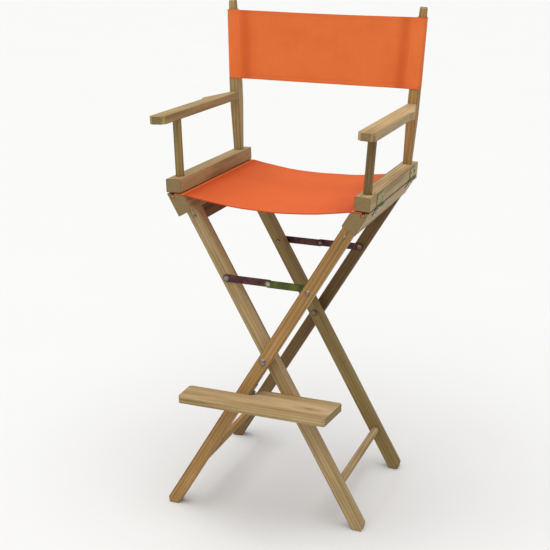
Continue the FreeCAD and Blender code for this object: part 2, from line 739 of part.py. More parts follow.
def make_armrest(side):
    """A flat arm that butts against the back post and narrows to it on its outer side."""
    body = new_body(side + "_armrest")
    inner = "%s - back_thickness / 2" % POST_U
    outer = "arm_overhang - hinge_offset"
    shoulder = "%s + back_thickness / 2" % POST_U
    back = "back_centre - back_depth / 2"
    corners = [
        (across(side, inner), "arm_front + arm_corner"),
        (across(side, inner + " + arm_corner"), "arm_front"),
        (across(side, outer + " - arm_corner"), "arm_front"),
        (across(side, outer), "arm_front + arm_corner"),
        (across(side, outer), back + " - arm_taper"),
    ]
    for out, along in ARM_TAPER:
        u = "%s + (%s - %s) * %s" % (shoulder, outer, shoulder, out)
        corners.append((across(side, u), "%s - arm_taper * %s" % (back, 1 - along)))
    corners.append((across(side, inner), back))
    low = "arm_top - arm_thickness"
    base = pad(body, polygon(body, "XY_Plane", low, corners), "arm_thickness")
    corner_y = base.Shape.BoundBox.YMin + float(dim.arm_corner) + ON_FACE
    soft = fillet(body, base, "edge_round * 2",
                  lambda e: runs_along(e, 2, ON_FACE) and e.Vertexes[0].Y < corner_y)
    high = soft.Shape.BoundBox.ZMax - ON_FACE
    fillet(body, soft, "edge_round",
           lambda e: runs_along(e, 1, LONG_EDGE) and e.Vertexes[0].Z > high)
    into_arm_frame(body, side)
    keep(body, body.Name)


# ---- footrest ------------------------------------------------------------------------------


def make_footrest():
    """A board in front of the right leg, stepped back on the right to reach the left leg."""
    body = new_body("footrest_board")
    rear = leg_face("right", "front", True) + " - footrest_clearance"
    deep = leg_face("left", "front", True) + " - footrest_clearance"
    notch = FOOT_HINGE_X + " + footrest_notch"
    corners = [
        ("footrest_corner - footrest_half", "footrest_front"),
        ("footrest_half - footrest_slant - footrest_corner", "footrest_front"),
        ("footrest_half - footrest_slant", "footrest_front + footrest_corner"),
        ("footrest_half", deep + " - footrest_corner"),
        ("footrest_half - footrest_corner", deep),
        (notch + " + footrest_step", deep),
        (notch, deep + " - footrest_step"),
        (notch, rear),
        ("-footrest_half + footrest_corner", rear),
        ("-footrest_half", rear + " - footrest_corner"),
        ("-footrest_half", "footrest_front + footrest_corner"),
    ]
    low = "footrest_top - footrest_thickness"
    base = pad(body, polygon(body, "XY_Plane", low, corners), "footrest_thickness")
    front = base.Shape.BoundBox.YMin + ON_FACE
    fillet(body, base, "edge_round",
           lambda e: runs_along(e, 0, LONG_EDGE) and e.Vertexes[0].Y < front)
    keep(body, body.Name)


def foot_knuckles():
    """Low Y and length of the three knuckles between the leg and the footrest."""
    start = leg_face("right", "front", True) + " + foot_hinge_inset"
    third = "foot_hinge_length / 3"
    return [("%s + %d * %s" % (start, i, third), third + " - hinge_play") for i in range(3)]


def make_footrest_hinge():
    near, middle, far = foot_knuckles()
    plate = box(HALF_LEG, near[0], "%s - foot_leaf_thickness" % FOOT_HINGE_W, "foot_leaf_thickness",
                "foot_hinge_length - hinge_play", "foot_leaf_height")
    ends = [cylinder("footrest_pivot_offset", y, FOOT_HINGE_W, "knuckle_diameter", length)
            for y, length in (near, far)]
    relief = cylinder("footrest_pivot_offset", "%s - hinge_play" % middle[0], FOOT_HINGE_W,
                      "knuckle_diameter + 2 * knuckle_relief", "%s + hinge_play" % middle[1])
    bore = cylinder("footrest_pivot_offset", near[0], FOOT_HINGE_W, "hinge_pin", "foot_hinge_length")
    leaf = cut(cut(fuse([plate] + ends), relief), bore)
    into_leg_frame(leaf, "right")
    keep(leaf, "footrest_leg_leaf")
    pin = cylinder(FOOT_HINGE_X, near[0], "footrest_top", "hinge_pin", "foot_hinge_length - hinge_play")
    keep(pin, "footrest_hinge_pin")
    tongue = box(FOOT_HINGE_X + " + foot_leaf_thickness", middle[0], "footrest_top - footrest_thickness",
                 "footrest_notch - foot_leaf_thickness", middle[1],
                 "footrest_thickness - footrest_clearance")
    barrel = cylinder(FOOT_HINGE_X, middle[0], "footrest_top", "knuckle_diameter", middle[1])
    hole = cylinder(FOOT_HINGE_X, middle[0], "footrest_top", "hinge_pin + 2 * turning_clearance", middle[1])
    keep(cut(fuse([tongue, barrel]), hole), "footrest_board_leaf")


def make_rest_plate():
    """A steel strip on the left front leg whose top end carries the footrest."""
    face = leg_face("left", "front", True)
    top = ("(footrest_top - footrest_thickness - footrest_clearance - crossing_height"
           " - (%s + rest_plate_thickness) * sin(leg_angle)) / cos(leg_angle)" % HALF_LEG)
    blank = box(HALF_LEG, "%s - rest_plate_front" % face, "%s - rest_plate_height" % top,
                "rest_plate_thickness", "rest_plate_front + rest_plate_back", "rest_plate_height")
    screws, holes = [], []
    for quarter in (1, 3):
        y = "%s + rest_plate_back / 2" % face
        z = "%s - rest_plate_height * %d / 4" % (top, quarter)
        screw = leaf_screw(HALF_LEG + " + rest_plate_thickness", y, z, 1)
        into_leg_frame(screw, "left")
        screws.append(screw)
        holes.append(cylinder("0", y, z, "screw_shank", "leg_width", FreeCAD.Vector(1, 0, 0)))
    plate = cut(blank, fuse(holes))
    into_leg_frame(plate, "left")
    keep(plate, "footrest_rest_plate")
    group("rest_plate_screws", screws)


# ---- canvas --------------------------------------------------------------------------------


def make_seat_canvas():
    """A sagging band between the rails, lying in the gap above each lower rail."""
    body = new_body("seat_canvas")
    level = "(seat_level - rail_gap / 2 + seat_clearance)"
    lip = "(%s - groove_inset - groove_width / 2)" % OUTER
    edge = "(%s - rail_width / cos(leg_angle))" % OUTER
    line = [("-" + lip, level)]
    for i in range(SAG_STEPS + 1):
        t = 2.0 * i / SAG_STEPS - 1.0
        line.append(("%.4f * %s" % (t, edge), "%s - seat_sag * %.4f" % (level, 1.0 - t * t)))
    line.append((lip, level))
    upper = [(x, z + " + canvas_thickness") for x, z in reversed(line)]
    sketch = polygon(body, "XZ_Plane", "-(seat_front + seat_depth)", line + upper)
    pad(body, sketch, "seat_depth")
    keep(body, body.Name)


def make_sleeve(side):
    """The loop of back canvas round one post, plain here."""
    sign = SIDES[side]
    clear = "sleeve_clearance"
    wall = "canvas_thickness"
    low = "back_canvas_low"
    tall = "back_canvas_high - back_canvas_low"

    def block(extra, start, height):
        width = "back_thickness + 2 * (%s)" % extra
        depth = "back_depth + 2 * (%s)" % extra
        x = "%s - back_thickness / 2 - (%s)" % (across(side, POST_U), extra)
        return box(x, "back_centre - back_depth / 2 - (%s)" % extra, start, width, depth, height)

    outer = block("%s + %s" % (clear, wall), low, tall)
    inner = block(clear, low + " - cut_margin", tall + " + 2 * cut_margin")
    sleeve = cut(outer, inner)
    tilt(sleeve, x="%d * %s" % (sign, HINGE), z="seat_level", angle="%d * arm_lean" % sign)
    keep(sleeve, side + "_back_sleeve")


def make_back_canvas():
    """The plain panel between the two sleeves, level with the front of the posts."""
    body = new_body("back_canvas")
    inner = "(%s - back_thickness / 2 - sleeve_clearance - canvas_thickness - sleeve_gap)" % POST_U

    def at(height):
        x = "(%s + %s * cos(arm_lean) + %s * sin(arm_lean))" % (HINGE, inner, height)
        z = "(seat_level + %s * cos(arm_lean) - %s * sin(arm_lean))" % (height, inner)
        return x, z

    low_x, low_z = at("back_canvas_low")
    high_x, high_z = at("back_canvas_high")
    corners = [("-" + low_x, low_z), (low_x, low_z), (high_x, high_z), ("-" + high_x, high_z)]
    front = "(back_centre - back_depth / 2 - sleeve_clearance - canvas_thickness)"
    pad(body, polygon(body, "XZ_Plane", "-(%s + panel_thickness)" % front, corners), "panel_thickness")
    keep(body, body.Name)


# ---- build, check and write ----------------------------------------------------------------


def build_frames():
    for side in SIDES:
        make_lower_rail(side)
        for end in ("front", "back"):
            make_leg(side, end)
        for make in (make_apron, make_stretcher, make_leg_screws, make_seat_rod, make_lower_leaves,
                     make_hinge_pins, make_upper_leaves, make_hinge_screws, make_upper_rail,
                     make_front_post, make_back_post, make_armrest, make_sleeve):
            make(side)


def build_middle():
    make_pivots()
    for end in ("front", "back"):
        make_link(end, "left", NEAR)
        make_link(end, "right", FAR)
        make_centre_rivet(end)
    make_brace_bolts()
    make_footrest()
    make_footrest_hinge()
    make_rest_plate()
    make_seat_canvas()
    make_back_canvas()


build_frames()
build_middle()
doc.recompute()

for thing in doc.Objects:
    if "Invalid" in thing.State or "Error" in thing.State:
        raise RuntimeError("%s failed: %s" % (thing.Label, thing.State))
for piece in pieces:
    if piece.Shape.isNull() or not piece.Shape.isValid():
        raise RuntimeError("bad shape in " + piece.Label)

os.makedirs("parts", exist_ok=True)
for piece in pieces:
    piece.Shape.exportStep(os.path.join("parts", piece.Label + ".step"))
print("%d nodes written" % len(pieces))
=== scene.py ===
import math

import bmesh
import bpy
from mathutils import Matrix, Vector, noise


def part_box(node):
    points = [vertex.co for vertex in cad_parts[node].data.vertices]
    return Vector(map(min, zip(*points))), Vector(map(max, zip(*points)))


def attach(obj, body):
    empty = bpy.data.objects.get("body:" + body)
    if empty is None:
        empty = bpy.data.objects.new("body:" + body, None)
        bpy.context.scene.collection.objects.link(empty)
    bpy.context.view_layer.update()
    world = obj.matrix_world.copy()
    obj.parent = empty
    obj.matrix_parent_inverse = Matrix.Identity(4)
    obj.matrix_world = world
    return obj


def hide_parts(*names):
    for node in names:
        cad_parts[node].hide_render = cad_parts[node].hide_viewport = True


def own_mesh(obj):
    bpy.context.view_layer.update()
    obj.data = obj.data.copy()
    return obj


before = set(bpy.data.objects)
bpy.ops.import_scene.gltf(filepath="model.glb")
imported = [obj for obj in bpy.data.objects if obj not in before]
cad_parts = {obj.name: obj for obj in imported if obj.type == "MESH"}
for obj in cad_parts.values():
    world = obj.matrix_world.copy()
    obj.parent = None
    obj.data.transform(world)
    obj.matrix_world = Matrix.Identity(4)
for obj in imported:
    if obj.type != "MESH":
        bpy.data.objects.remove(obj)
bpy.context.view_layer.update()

# ---- sizes that match the CAD, in metres ----------------------------------------------------

MM = 0.001
SIDES = {"left": -1, "right": 1}
LEG_ANGLE = math.radians(30.0)      # each leg from upright, at rest
ARM_LEAN = math.radians(3.0)        # each post outward from upright, at rest
CROSSING_Z = 394.0 * MM             # height of the crossing bolts
HINGE_X = 235.017 * MM              # arm hinge axes, each side of the middle
HINGE_Z = 760.0 * MM
SEAT_EDGE = 191.1 * MM              # inner top edge of each lower rail
RAIL_TOP_Z = 758.5 * MM             # top of each lower rail
SEAT_LOW, SEAT_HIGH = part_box("seat_canvas")
ROD_LOW, ROD_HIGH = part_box("right_seat_rod")
CANVAS_LOW_W = 210.0 * MM           # the back cloth's edges, up the post from the hinge
CANVAS_HIGH_W = 373.0 * MM
POST_U = -21.0 * MM                 # middle of a back post, outward from the hinge
BACK_CENTRE = 200.0 * MM            # depth of the middle of the back posts, below the shoulder

CLOTH = 1.2 * MM                    # thickness
STITCH_PITCH = 4.2 * MM


def arm_point(side, u, y, w):
    """World place of a point in an arm frame: u outward from the hinge axis, w up the post."""
    cos, sin = math.cos(ARM_LEAN), math.sin(ARM_LEAN)
    return Vector((SIDES[side] * (HINGE_X + u * cos + w * sin), y, HINGE_Z + w * cos - u * sin))


# ---- shader helpers -------------------------------------------------------------------------


MIX_FACTOR, MIX_A, MIX_B, MIX_COLOUR = 0, 6, 7, 2       # a Mix node's sockets for colour


class Shader:
    """Adds nodes to a new material and joins them up."""

    def __init__(self, name):
        self.material = bpy.data.materials.new(name)
        self.material.use_nodes = True
        self.tree = self.material.node_tree
        self.bsdf = self.tree.nodes["Principled BSDF"]

    def put(self, target, value):
        """Set a socket, or link it when value is another node's socket."""
        if isinstance(value, bpy.types.NodeSocket):
            self.tree.links.new(value, target)
        else:
            target.default_value = value

    def node(self, kind, inputs=None, **settings):
        """A new node with its inputs set or linked, and its own settings."""
        made = self.tree.nodes.new(kind)
        for key, value in settings.items():
            setattr(made, key, value)
        for key, value in (inputs or {}).items():
            self.put(made.inputs[key], value)
        return made

    def math(self, operation, a, b=0.0, clamp=False):
        made = self.node("ShaderNodeMath", {0: a, 1: b}, operation=operation, use_clamp=clamp)
        return made.outputs[0]

    def vector(self, operation, a, b):
        return self.node("ShaderNodeVectorMath", {0: a, 1: b}, operation=operation)

    def noise(self, vector, scale, detail=3.0, roughness=0.55, distortion=0.0):
        made = self.node("ShaderNodeTexNoise", {"Vector": vector, "Scale": scale, "Detail": detail,
                                                "Roughness": roughness, "Distortion": distortion})
        return made.outputs["Fac"]

    def ramp(self, value, stops):
        """Colour ramp; stops are (place, colour or grey)."""
        made = self.node("ShaderNodeValToRGB", {"Fac": value})
        elements = made.color_ramp.elements
        while len(elements) < len(stops):
            elements.new(0.5)
        for element, (place, colour) in zip(elements, stops):
            element.position = place
            element.color = colour if len(colour) == 4 else (*colour, 1.0)
        return made.outputs["Color"]

    def weighted(self, *parts):
        """Sum of values times weights; parts are (value, weight)."""
        total = None
        for value, weight in parts:
            share = self.math("MULTIPLY", value, weight)
            total = share if total is None else self.math("ADD", total, share)
        return total

    def grey(self, value, low, high, dark=0.0, light=1.0):
        """Map low to dark and high to light, held level outside them."""
        made = self.node("ShaderNodeMapRange", {0: value, 1: low, 2: high, 3: dark, 4: light})
        return made.outputs[0]

    def mix(self, factor, a, b, blend="MIX"):
        """Mix of two colours, each a socket or three numbers."""
        made = self.node("ShaderNodeMix", data_type="RGBA", blend_type=blend)
        self.put(made.inputs[MIX_FACTOR], factor)
        for index, colour in ((MIX_A, a), (MIX_B, b)):
            linked = isinstance(colour, bpy.types.NodeSocket)
            self.put(made.inputs[index], colour if linked else (*colour, 1.0))
        return made.outputs[MIX_COLOUR]

    def scaled(self, vector, scale):
        return self.vector("MULTIPLY", vector, scale).outputs[0]

    def bump(self, height, strength, distance):
        made = self.node("ShaderNodeBump", {"Height": height, "Strength": strength,
                                            "Distance": distance})
        return made.outputs[0]


def linear(red, green, blue):
    """Linear colour of an 0 to 255 display colour."""
    out = []
    for value in (red, green, blue):
        share = value / 255.0
        out.append(share / 12.92 if share <= 0.04045 else ((share + 0.055) / 1.055) ** 2.4)
    return tuple(out)


WOOD_LIGHT = linear(194, 172, 136)
WOOD_MID = linear(164, 140, 100)
WOOD_DARK = linear(114, 90, 52)
WOOD_PORE = linear(70, 52, 24)
WOOD_EDGE = linear(84, 70, 30)
# open end grain, made darker too as painted shade on the ends that face the front
WOOD_END_GRAIN_AND_SHADE = linear(146, 127, 92)
FRESH = linear(255, 250, 236)       # tints that multiply the wood's colour; the two darkest also carry painted shade
HONEY = linear(240, 212, 168)
# olive hue of the wood, made darker too as painted shade for parts in shadow
OLIVE_AND_SHADE_TINT = linear(206, 200, 160)
SAGE = linear(238, 236, 208)
# darker tint: painted shade for parts that stand in shadow
SHADE_TINT = linear(168, 152, 120)
CANVAS_BRIGHT = linear(234, 124, 64)
CANVAS_MID = linear(226, 111, 53)
CANVAS_DEEP = linear(184, 64, 12)
THREAD_DARK = linear(232, 128, 66)
THREAD_LIGHT = linear(246, 156, 92)
ROD_DARK = linear(104, 90, 72)
ROD_LIGHT = linear(150, 136, 116)

# Noise scales are per metre. For wood they are across, across and along the grain.
WOOD_STOPS = [(0.42, WOOD_DARK), (0.62, WOOD_MID), (0.84, WOOD_LIGHT)]
WOOD_TONE_SCALE = (42.0, 42.0, 2.6)
WOOD_RING_SCALE = (1.0, 0.8, 0.045)
WOOD_STREAK_SCALE = (620.0, 620.0, 9.0)
WOOD_PORE_SCALE = (1150.0, 1150.0, 48.0)
WOOD_BLOTCH_SCALE = (9.0, 9.0, 5.0)
WOOD_CUT_SCALE = (95.0, 330.0, 95.0)
WOOD_SEED_STEP = (0.37, 0.21, 0.53)     # moves the figure, so that no two parts look the same
# width of the darkened edges
WOOD_DARK_EDGE_WIDTH = 3.2 * MM
KNOT_TURN = (0.0, 0.0, 0.35)
KNOT_SCALE = (0.30, 1.0, 0.5)
THREAD_SPACING = 0.95 * MM
SLUB_LONG, SLUB_SHORT = 28.0, 900.0
CANVAS_CLOUD_SCALE = (14.0, 14.0, 1.0)
THREAD_SCALE = (1800.0, 1800.0, 1800.0)
METAL_CLOUD_SCALE = (55.0, 55.0, 55.0)
METAL_SPECK_SCALE = (420.0, 420.0, 420.0)
METAL_SCRATCH_SCALE = (60.0, 900.0, 1400.0)
ROD_GRIME_SCALE = (160.0, 30.0, 160.0)


def wood_place(s, place, grain, seed, knot):
    """Coordinates with Z along the grain, and the distance from the knot or None."""
    turn = Vector(grain).normalized().rotation_difference(Vector((0, 0, 1))).to_euler()
    shift = tuple(step * seed for step in WOOD_SEED_STEP)
    along = s.node("ShaderNodeMapping", {"Vector": place.outputs["Object"],
                                         "Rotation": tuple(turn), "Location": shift})
    p = along.outputs[0]
    if not knot:
        return p, None
    centre, radius = knot
    offset = s.vector("SUBTRACT", place.outputs["Object"], centre).outputs[0]
    slant = s.node("ShaderNodeMapping", {"Vector": offset, "Rotation": KNOT_TURN,
                                         "Scale": KNOT_SCALE}).outputs[0]
    near = s.vector("LENGTH", slant, (0.0, 0.0, 0.0)).outputs["Value"]
    swirl = s.grey(near, 0.0, radius * 4.0, 0.005, 0.0)
    push = s.node("ShaderNodeCombineXYZ", {0: swirl, 1: swirl}).outputs[0]
    return s.vector("ADD", p, push).outputs[0], near


def wood_rings(s, p):
    """Wavy growth rings, seen as long bands."""
    settings = {"Vector": s.scaled(p, WOOD_RING_SCALE), "Scale": 38.0, "Distortion": 5.5,
                "Detail": 3.0, "Detail Scale": 1.4}
    rings = s.node("ShaderNodeTexWave", settings, wave_type="BANDS", bands_direction="X")
    return rings.outputs["Fac"]


def wood_ends(s, colour, p, place, grain):
    """Darker open grain on the faces that cut across it; this darkness is also painted shade on the
    ends that face the front.
    """
    facing = s.vector("DOT_PRODUCT", place.outputs["Normal"], tuple(Vector(grain).normalized()))
    end = s.grey(s.math("ABSOLUTE", facing.outputs["Value"]), 0.80, 0.93)
    cut = s.noise(s.scaled(p, WOOD_CUT_SCALE), 1.0, 3.0)
    return s.mix(end, colour, s.mix(cut, WOOD_DARK, WOOD_END_GRAIN_AND_SHADE))


def wood_dark_edges(s, colour, tone):
    """Darker edges, found where the bevelled normal leaves the face's own."""
    soft = s.node("ShaderNodeBevel", {"Radius": WOOD_DARK_EDGE_WIDTH}, samples=4).outputs[0]
    flat = s.node("ShaderNodeNewGeometry").outputs["Normal"]
    edge = s.grey(s.vector("DOT_PRODUCT", soft, flat).outputs["Value"], 0.995, 0.90)
    # darker edges and inner corners, varied by tone
    dark_edge = s.math("MULTIPLY", edge, s.grey(tone, 0.35, 0.6, 0.35, 0.85))
    return s.mix(dark_edge, colour, WOOD_EDGE)


def wood(name, grain, seed, tint, knot=None):
    """Bare hardwood whose grain runs along the grain vector. A knot is (place, radius)."""
    s = Shader(name)
    place = s.node("ShaderNodeTexCoord")
    p, near = wood_place(s, place, grain, seed, knot)
    tone = s.noise(s.scaled(p, WOOD_TONE_SCALE), 1.0, 4.0, 0.6, 0.5)
    rings = wood_rings(s, p)
    streak = s.noise(s.scaled(p, WOOD_STREAK_SCALE), 1.0, 3.0, 0.65)
    pores = s.noise(s.scaled(p, WOOD_PORE_SCALE), 1.0, 2.0, 0.5)
    blotch = s.noise(s.scaled(p, WOOD_BLOTCH_SCALE), 1.0, 2.0)
    value = s.weighted((tone, 0.62), (rings, 0.16), (streak, 0.34), (blotch, 0.22))
    colour = s.ramp(value, WOOD_STOPS)
    colour = s.mix(s.grey(blotch, 0.40, 0.70, 0.0, 0.35), colour, WOOD_DARK)
    pits = s.grey(pores, 0.63, 0.72)
    colour = s.mix(s.math("MULTIPLY", pits, 0.5), colour, WOOD_PORE)
    colour = wood_ends(s, colour, p, place, grain)
    colour = wood_dark_edges(s, colour, tone)
    if knot:
        heart = s.grey(near, knot[1] * 0.2, knot[1], 1.0, 0.0)
        colour = s.mix(s.math("MULTIPLY", heart, 0.7), colour, WOOD_DARK)
    colour = s.mix(1.0, colour, tint, "MULTIPLY")
    s.put(s.bsdf.inputs["Base Color"], colour)
    s.put(s.bsdf.inputs["Roughness"], s.grey(streak, 0.3, 0.7, 0.52, 0.74))
    s.bsdf.inputs["Specular IOR Level"].default_value = 0.35
    height = s.math("SUBTRACT", s.math("MULTIPLY", streak, 0.5), pits)
    s.put(s.bsdf.inputs["Normal"], s.bump(height, 0.35, 0.25 * MM))
    return s.material


def plain_weave(s, uv):
    """Height of a plain weave: warp and weft pass over each other in turn."""
    split = s.node("ShaderNodeSeparateXYZ", {0: uv})
    cycle = math.pi / THREAD_SPACING
    warp = s.math("SINE", s.math("MULTIPLY", split.outputs[0], cycle))
    weft = s.math("SINE", s.math("MULTIPLY", split.outputs[1], cycle))
    over = s.grey(s.math("MULTIPLY", warp, weft), -0.25, 0.25)
    warp_height = s.math("ABSOLUTE", warp)
    weft_height = s.math("ABSOLUTE", weft)
    rise = s.math("SUBTRACT", warp_height, weft_height)
    return s.math("ADD", weft_height, s.math("MULTIPLY", rise, over))


def canvas(name):
    """Heavy plain-weave cotton: the cloth UV map is in metres, tone darkens the hems and carries
    painted shade.
    """
    s = Shader(name)
    uv = s.node("ShaderNodeUVMap", uv_map="cloth").outputs[0]
    weave = plain_weave(s, uv)
    slub_u = s.noise(s.scaled(uv, (SLUB_LONG, SLUB_SHORT, 1.0)), 1.0, 2.0)
    slub_v = s.noise(s.scaled(uv, (SLUB_SHORT, SLUB_LONG, 1.0)), 1.0, 2.0)
    slub = s.math("ADD", slub_u, slub_v)
    cloud = s.noise(s.scaled(uv, CANVAS_CLOUD_SCALE), 1.0, 3.0, 0.6)
    faded = s.weighted((cloud, 0.7), (slub, 0.28))
    colour = s.ramp(faded, [(0.42, CANVAS_MID), (0.82, CANVAS_BRIGHT)])
    # painted shade in the low spots between the threads
    weave_gap_shade = s.grey(weave, 0.15, 0.6, 0.28, 0.0)
    colour = s.mix(weave_gap_shade, colour, CANVAS_DEEP)
    # tone: darker hems, plus painted shade beside the rails, posts and stitch dips
    tone = s.node("ShaderNodeAttribute", attribute_name="tone").outputs["Fac"]
    colour = s.mix(tone, colour, CANVAS_DEEP)
    s.put(s.bsdf.inputs["Base Color"], colour)
    s.put(s.bsdf.inputs["Roughness"], s.grey(cloud, 0.3, 0.7, 0.78, 0.92))
    s.bsdf.inputs["Specular IOR Level"].default_value = 0.2
    s.bsdf.inputs["Sheen Weight"].default_value = 0.06
    s.bsdf.inputs["Sheen Roughness"].default_value = 0.45
    s.bsdf.inputs["Sheen Tint"].default_value = (1.0, 0.72, 0.52, 1.0)
    height = s.math("ADD", weave, s.math("MULTIPLY", slub, 0.6))
    s.put(s.bsdf.inputs["Normal"], s.bump(height, 0.45, 0.2 * MM))
    return s.material


def thread(name):
    """Twisted sewing thread, a shade lighter than the cloth."""
    s = Shader(name)
    place = s.node("ShaderNodeTexCoord").outputs["Object"]
    twist = s.noise(s.scaled(place, THREAD_SCALE), 1.0, 1.0)
    s.put(s.bsdf.inputs["Base Color"], s.mix(twist, THREAD_DARK, THREAD_LIGHT))
    s.bsdf.inputs["Roughness"].default_value = 0.6
    s.bsdf.inputs["Sheen Weight"].default_value = 0.3
    s.put(s.bsdf.inputs["Normal"], s.bump(twist, 0.3, 0.1 * MM))
    return s.material


def metal(name, dull, bright, stain, metallic, rough):
    """Plated steel with stains, fine scratches and grime."""
    s = Shader(name)
    place = s.node("ShaderNodeTexCoord").outputs["Object"]
    cloud = s.noise(s.scaled(place, METAL_CLOUD_SCALE), 1.0, 4.0, 0.6, 0.8)
    speck = s.noise(s.scaled(place, METAL_SPECK_SCALE), 1.0, 2.0)
    scratch = s.noise(s.scaled(place, METAL_SCRATCH_SCALE), 1.0, 2.0)
    colour = s.mix(s.grey(cloud, 0.35, 0.65), dull, bright)
    colour = s.mix(s.grey(speck, 0.58, 0.75, 0.0, 0.6), colour, stain)
    s.put(s.bsdf.inputs["Base Color"], colour)
    s.bsdf.inputs["Metallic"].default_value = metallic
    s.put(s.bsdf.inputs["Roughness"], s.grey(scratch, 0.3, 0.7, rough - 0.1, rough + 0.16))
    s.put(s.bsdf.inputs["Normal"], s.bump(s.math("ADD", scratch, speck), 0.18, 0.1 * MM))
    return s.material


def plastic_rod(name):
    """Grimy plastic of a hem rod."""
    s = Shader(name)
    place = s.node("ShaderNodeTexCoord").outputs["Object"]
    grime = s.noise(s.scaled(place, ROD_GRIME_SCALE), 1.0, 3.0)
    s.put(s.bsdf.inputs["Base Color"], s.mix(grime, ROD_DARK, ROD_LIGHT))
    s.put(s.bsdf.inputs["Roughness"], s.grey(grime, 0.3, 0.7, 0.38, 0.55))
    return s.material


# ---- materials on the CAD nodes -------------------------------------------------------------

# The two darkest tints are painted shade on the parts in shadow: the back legs, the front posts under
# the arms and the aprons under the seat.
WOOD_TINTS = {"left_front_leg": FRESH, "right_front_leg": HONEY, "left_back_leg": OLIVE_AND_SHADE_TINT,
              "right_back_leg": SHADE_TINT, "right_front_post": SHADE_TINT, "left_front_post": OLIVE_AND_SHADE_TINT,
              "left_apron": SHADE_TINT, "right_apron": SHADE_TINT, "left_back_post": SAGE,
              "right_back_post": HONEY, "left_armrest": SAGE, "right_stretcher": HONEY}
KNOT_INSET = (0.058, 0.046)             # from the footrest's right end and its front
KNOT_RADIUS = 0.005
FOOTREST_SEED = 29
# Dull, bright and stain colours, then how metallic and how rough.
METALS = {"plated_steel": ((120, 116, 104), (172, 168, 156), (70, 62, 46), 0.85, 0.38),
          "bolt_steel": ((96, 88, 76), (150, 142, 126), (52, 44, 34), 0.85, 0.38),
          "hinge_brass": ((116, 106, 46), (160, 146, 76), (60, 50, 20), 0.8, 0.38),
          "zinc_purple": ((62, 34, 36), (98, 62, 60), (84, 78, 40), 0.7, 0.45),
          "zinc_olive": ((66, 74, 26), (104, 108, 50), (70, 44, 36), 0.7, 0.45)}
METAL_NODES = {
    "plated_steel": ("front_brace_rivet", "back_brace_rivet", "footrest_leg_leaf",
                     "footrest_board_leaf", "footrest_hinge_pin", "footrest_rest_plate"),
    "bolt_steel": ("back_brace_end_rivet", "left_brace_bolts", "right_brace_bolt", "pivot_bolts",
                   "pivot_nuts", "pivot_spacers", "rest_plate_screws"),
    "zinc_purple": ("front_brace_left_link", "back_brace_left_link", "back_brace_right_link"),
    "zinc_olive": ("front_brace_right_link",)}
SIDE_METALS = {"upper_hinge_leaves": "hinge_brass", "lower_hinge_leaves": "plated_steel",
               "hinge_pins": "bolt_steel", "upper_hinge_screws": "bolt_steel",
               "lower_hinge_screws": "bolt_steel", "leg_screws": "bolt_steel"}


def paint(node, material):
    """Give a CAD node one material."""
    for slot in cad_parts[node].material_slots:
        slot.material = material


def wood_grains():
    """Direction of the grain of each wooden node."""
    grains = {}
    for side, sign in SIDES.items():
        post = (sign * math.sin(ARM_LEAN), 0.0, math.cos(ARM_LEAN))
        leg = (sign * math.sin(LEG_ANGLE), 0.0, math.cos(LEG_ANGLE))
        for name in ("lower_rail", "upper_rail", "apron", "armrest", "stretcher"):
            grains["%s_%s" % (side, name)] = (0.0, 1.0, 0.0)
        for end in ("front", "back"):
            grains["%s_%s_post" % (side, end)] = post
            grains["%s_%s_leg" % (side, end)] = leg
    return grains


def paint_wood():
    for seed, (node, grain) in enumerate(sorted(wood_grains().items()), start=1):
        paint(node, wood("wood_" + node, grain, seed, WOOD_TINTS.get(node, FRESH)))
    low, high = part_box("footrest_board")
    knot = ((high.x - KNOT_INSET[0], low.y + KNOT_INSET[1], high.z), KNOT_RADIUS)
    along = (1.0, 0.0, 0.0)
    paint("footrest_board", wood("wood_footrest", along, FOOTREST_SEED, FRESH, knot))


def paint_metal():
    finishes = {}
    for name, (*colours, metallic, rough) in METALS.items():
        dull, bright, stain = (linear(*colour) for colour in colours)
        finishes[name] = metal(name, dull, bright, stain, metallic, rough)
    for finish, nodes in METAL_NODES.items():
        for node in nodes:
            paint(node, finishes[finish])
    for side in SIDES:
        for name, finish in SIDE_METALS.items():
            paint("%s_%s" % (side, name), finishes[finish])
        paint(side + "_seat_rod", plastic_rod(side + "_rod"))


# ---- cloth meshes ---------------------------------------------------------------------------


EDGE_LEAST = 0.03                   # share of the half-thickness left at a free edge


def add_object(name, made, material):
    """Put a finished bmesh in the scene."""
    mesh = bpy.data.meshes.new(name)
    made.to_mesh(mesh)
    made.free()
    mesh.materials.append(material)
    thing = bpy.data.objects.new(name, mesh)
    bpy.context.scene.collection.objects.link(thing)
    return thing


def fade(distance, width):
    return math.exp(-distance / width)


def bell(distance, width):
    return math.exp(-(distance / width) ** 2)


def rounding(distance, half):
    """Half-thickness near a free edge, so that the edge is a small half circle."""
    if distance >= half:
        return half
    inset = 1.0 - max(distance, 0.0) / half
    return half * max(math.sqrt(1.0 - inset * inset), EDGE_LEAST)


def cloth_vertices(made, columns, rows, place, half, tone, uv):
    """Upper and under sheet, as lists of columns of (vertex, UV place)."""
    tones = made.verts.layers.float.new("tone")
    sheets = ([], [])
    for a in columns:
        lines = ([], [])
        for b in rows:
            point, normal = place(a, b)
            for sign, line in zip((1, -1), lines):
                vertex = made.verts.new(point + normal * (half(a, b, sign) * sign))
                vertex[tones] = tone(a, b)
                line.append((vertex, uv(a, b)))
        for sheet, line in zip(sheets, lines):
            sheet.append(line)
    return sheets


